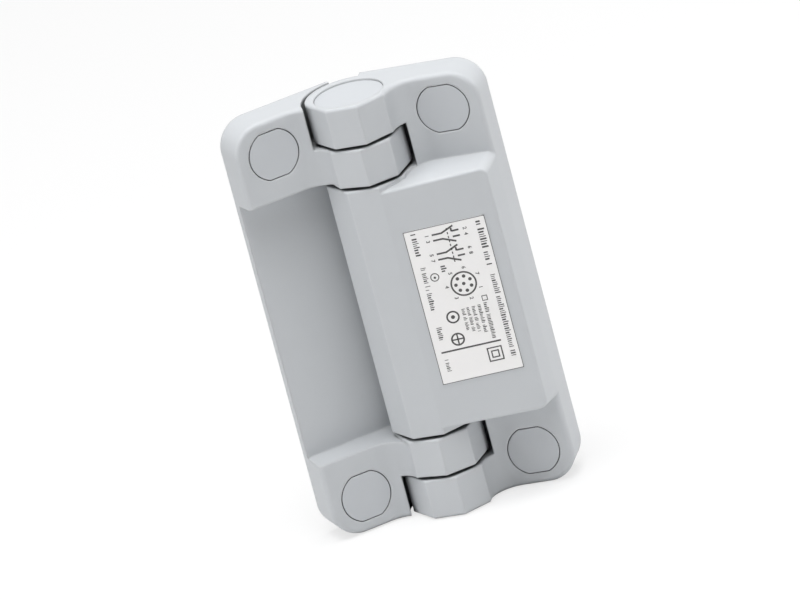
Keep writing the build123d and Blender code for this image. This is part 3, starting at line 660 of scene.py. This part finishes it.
# %% Print the lines of type
# Each line is its place across the label, its start and end down the label, and the type's size.
TYPE_BESIDE_DIAGRAM = (
    (2.45, 1.3, 7.7, 1.55), (2.6, 10.4, 15.6, 1.35), (2.5, 16.2, 22.0, 1.35), (2.6, 26.4, 29.9, 1.35),
    (2.5, 35.0, 38.2, 1.15), (7.5, 10.9, 12.5, 1.4),
)
TYPE_ALONG_EDGE = ((18.7, 1.5, 9.0, 1.7), (18.7, 9.8, 13.8, 1.7), (18.8, 15.9, 38.0, 1.5))
TYPE_UNDER_LAYOUT = (
    (9.5, 23.0, 28.9, 0.95), (10.8, 22.9, 29.4, 0.95), (12.1, 22.9, 29.8, 0.95), (13.6, 22.8, 30.3, 1.0),
    (15.2, 22.6, 32.2, 1.1),
)
type_count = 0
for seed, (u, start, end, size) in enumerate(TYPE_BESIDE_DIAGRAM + TYPE_ALONG_EDGE + TYPE_UNDER_LAYOUT):
    type_count += type_ticks(u, start, end, size, seed)
print("type ticks:", type_count)

# %% Give the ink its height
bpy.ops.mesh.select_all(action="SELECT")
bpy.ops.mesh.extrude_region_move(TRANSFORM_OT_translate={"value": (0, 0, INK)})
bpy.ops.mesh.select_all(action="SELECT")
bpy.ops.mesh.normals_make_consistent(inside=False)
bpy.ops.object.mode_set(mode="OBJECT")
bpy.ops.object.transform_apply(location=True, rotation=True, scale=True)
print("ink faces:", len(label_print.data.polygons))

# %% [markdown]
# ## Terminal numbers
# Contacts and pins are numbered on such labels, and plain numerals say nothing about a maker. They
# are text objects, turned into meshes with the ink's height and joined to the rest of the print.


# %% Write one numeral
NUMERAL = 1.3
NUMERAL_SWELL = 0.03 * MM
NUMERAL_CURVE_STEPS = 3


def numeral(sign, u, v):
    """One small numeral in ink, read along the hinge like the rest of the type."""
    deselect_all()
    bpy.ops.object.text_add(location=spot(u, v), rotation=(0, 0, -math.pi / 2))
    digit = bpy.context.object
    digit.data.body = sign
    digit.data.size = NUMERAL * MM
    digit.data.align_x, digit.data.align_y = "CENTER", "CENTER"
    digit.data.extrude = INK / 2
    digit.data.offset = NUMERAL_SWELL
    digit.data.resolution_u = NUMERAL_CURVE_STEPS
    bpy.ops.object.convert(target="MESH")
    digit.location.z += INK / 2
    return digit


# %% Number the contacts and the pins
NUMBERS_BEFORE, NUMBERS_AFTER = 5.4, 14.9
NUMBERS_OUTSIDE = 0.95
numerals = []
for place, (row, _) in enumerate(CONTACT_ROWS):
    numerals.append(numeral(str(2 * place + 1), NUMBERS_BEFORE, row))
    numerals.append(numeral(str(2 * place + 2), NUMBERS_AFTER, row))
for number in range(OUTER_PINS):
    numerals.append(numeral(str(number + 1), *round_symbol(number, SYMBOL_RADIUS + NUMBERS_OUTSIDE)))
deselect_all()
for digit in numerals:
    digit.select_set(True)
label_print.select_set(True)
bpy.context.view_layer.objects.active = label_print
bpy.ops.object.join()
print("numerals:", len(numerals))

# %% Lay the ink on the film
lie_on_film = Matrix((across, Vector((0, 0, 1)), outward)).transposed().to_4x4()
label_print.matrix_world = Matrix.Translation(film_centre) @ lie_on_film
bpy.ops.object.transform_apply(location=True, rotation=True, scale=True)
ink = plastic(
    "grey_ink", (0.055, 0.053, 0.052), (0.075, 0.073, 0.072), (0.10, 0.10, 0.10),
    rough=0.5, grain_scale=12000.0, grain_depth=0.05, edge_radius=0.00002,
)
label_print.data.materials.clear()
label_print.data.materials.append(ink)
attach(label_print, "switch_leaf")
print("print box:", [round(d * 1000, 2) for d in label_print.dimensions])

# %% [markdown]
# ## The thread on the connector
# The frame keeps the connector's thread as a plain cylinder of the outer size. Here the outline of
# one thin wedge is drawn and a Screw modifier winds it round the shell, so the thread is a real
# shape. The outline is set corner by corner, because its place from the axis is what counts.

# %% Measure the connector
PITCH = 1.0 * MM
THREAD_RADIUS = 6.0 * MM
THREAD_REACH = 0.12 * MM
THREAD_ROOT = 0.25 * MM
THREAD_HALF_WIDTH = 0.42 * MM
THREAD_TURNS = 7
THREAD_STEPS = 32
TURNS_FROM_RIM = 0.9
shell_low, shell_high = (Vector(corner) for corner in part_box("connector_shell"))
shell_x = (shell_low.x + shell_high.x) / 2
thread_start = shell_high.y - (THREAD_TURNS + TURNS_FROM_RIM) * PITCH
print("thread from", round(thread_start * 1000, 2), "to", round(shell_high.y * 1000, 2))


# %% Write the winding helper
SAME_POINT = 0.0001 * MM


def wind(profile, pitch, turns, steps):
    """Wind a closed profile round its own Z axis into a closed solid."""
    winding = profile.modifiers.new("winding", "SCREW")
    winding.axis = "Z"
    winding.screw_offset = pitch
    winding.iterations = turns
    winding.steps = winding.render_steps = steps
    bpy.ops.object.modifier_apply(modifier="winding")
    bpy.ops.object.mode_set(mode="EDIT")
    bpy.ops.mesh.select_all(action="SELECT")
    bpy.ops.mesh.remove_doubles(threshold=SAME_POINT)
    bpy.ops.mesh.select_all(action="DESELECT")
    bpy.ops.mesh.select_mode(type="EDGE")
    bpy.ops.mesh.select_non_manifold()
    bpy.ops.mesh.fill_holes(sides=0)
    bpy.ops.mesh.select_all(action="SELECT")
    bpy.ops.mesh.normals_make_consistent(inside=False)
    bpy.ops.object.mode_set(mode="OBJECT")


# %% Wind the thread
deselect_all()
bpy.ops.mesh.primitive_circle_add(vertices=3, radius=THREAD_HALF_WIDTH, fill_type="NOTHING")
thread = bpy.context.object
thread.name = "connector_thread"
wedge = ((THREAD_REACH, 0), (-THREAD_ROOT, THREAD_HALF_WIDTH), (-THREAD_ROOT, -THREAD_HALF_WIDTH))
for corner, (outwards, along) in zip(thread.data.vertices, wedge):
    corner.co = (THREAD_RADIUS + outwards, 0, along)
wind(thread, PITCH, THREAD_TURNS, THREAD_STEPS)
thread.location = (shell_x, thread_start, 0)
thread.rotation_euler = (-math.pi / 2, 0, 0)
bpy.ops.object.transform_apply(location=True, rotation=True, scale=True)
thread.data.materials.append(finishes["plated_metal"])
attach(thread, "switch_leaf")
print("thread faces:", len(thread.data.polygons))

# %% [markdown]
# ## The plunger springs
# The frame's springs have wire with eight sides and one length. Here each is wound again from round
# wire and stands for the frame's spring.

# %% Measure the springs
WIRE_RADIUS, WIRE_SIDES = 0.25 * MM, 12
COIL_RADIUS, COIL_STEPS = 1.45 * MM, 24
SPRING_START, SPRING_FIXED_END = -4.85 * MM, 3.6 * MM
SPRING_LENGTH, SPRING_TURNS = 8.1 * MM, 5


# %% Wind the springs
def coil_spring(name, axis_y, axis_z):
    """One spring of round wire along X, with both ends of the wire closed."""
    deselect_all()
    bpy.ops.mesh.primitive_circle_add(
        vertices=WIRE_SIDES, radius=WIRE_RADIUS, fill_type="NOTHING",
        location=(COIL_RADIUS, 0, 0), rotation=(math.pi / 2, 0, 0),
    )
    spring = bpy.context.object
    spring.name = name
    bpy.ops.object.transform_apply(location=True, rotation=True, scale=True)
    wind(spring, SPRING_LENGTH / SPRING_TURNS, SPRING_TURNS, COIL_STEPS)
    bpy.ops.object.shade_smooth()
    spring.location = (SPRING_START, axis_y, axis_z)
    spring.rotation_euler = (0, math.pi / 2, 0)
    bpy.ops.object.transform_apply(location=True, rotation=True, scale=True)
    spring.data.materials.append(finishes["steel"])
    return spring


for side in ("top", "bottom"):
    node_low, node_high = (Vector(corner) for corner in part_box("plunger_spring_" + side))
    middle = (node_low + node_high) / 2
    spring = coil_spring("coil_spring_" + side, middle.y, middle.z)
    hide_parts("plunger_spring_" + side)
    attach(spring, "switch_leaf")
    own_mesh(spring)
    print(spring.name, "faces:", len(spring.data.polygons))

# %% [markdown]
# ## The last look
# The dressed hinge must fill the same box as the frame.

# %% Update the scene
bpy.context.view_layer.update()
